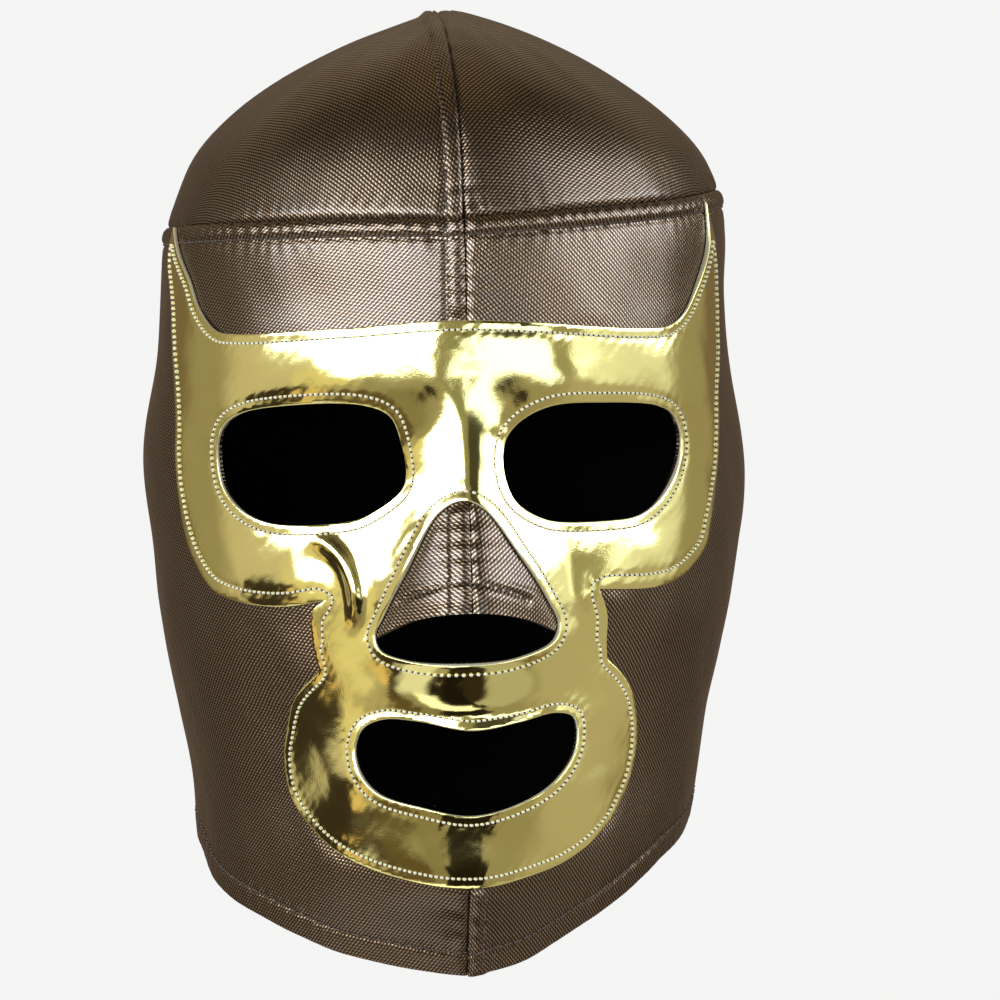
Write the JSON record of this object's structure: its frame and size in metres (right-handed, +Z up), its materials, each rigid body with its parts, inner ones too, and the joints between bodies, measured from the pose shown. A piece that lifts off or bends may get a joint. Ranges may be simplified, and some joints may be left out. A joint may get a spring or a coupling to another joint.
{
  "type": "luchador mask",
  "caption": "Closed wrestling hood of stretch cloth with a sewn-on gold foil face trim that frames the eyes, nose and mouth.",
  "frame": {"origin": "inside of the top of the crown, where the mask sits on the wearer's head", "axes": "+Z up, -Y the way the face looks, +X towards the wearer's left"},
  "size_m": [0.1877, 0.2148, 0.2909],
  "materials": {
    "bronze_cloth_left": "satin",
    "bronze_cloth_right": "satin",
    "bronze_cloth_face_left": "satin",
    "bronze_cloth_face_right": "satin",
    "gold_foil": "gloss"
  },
  "bodies": {
    "root": {"back_panel_left": "bronze_cloth_left", "back_panel_right": "bronze_cloth_right", "face_panel_left": "bronze_cloth_face_left", "face_panel_right": "bronze_cloth_face_right", "face_trim": "gold_foil"}
  },
  "joints": []
}
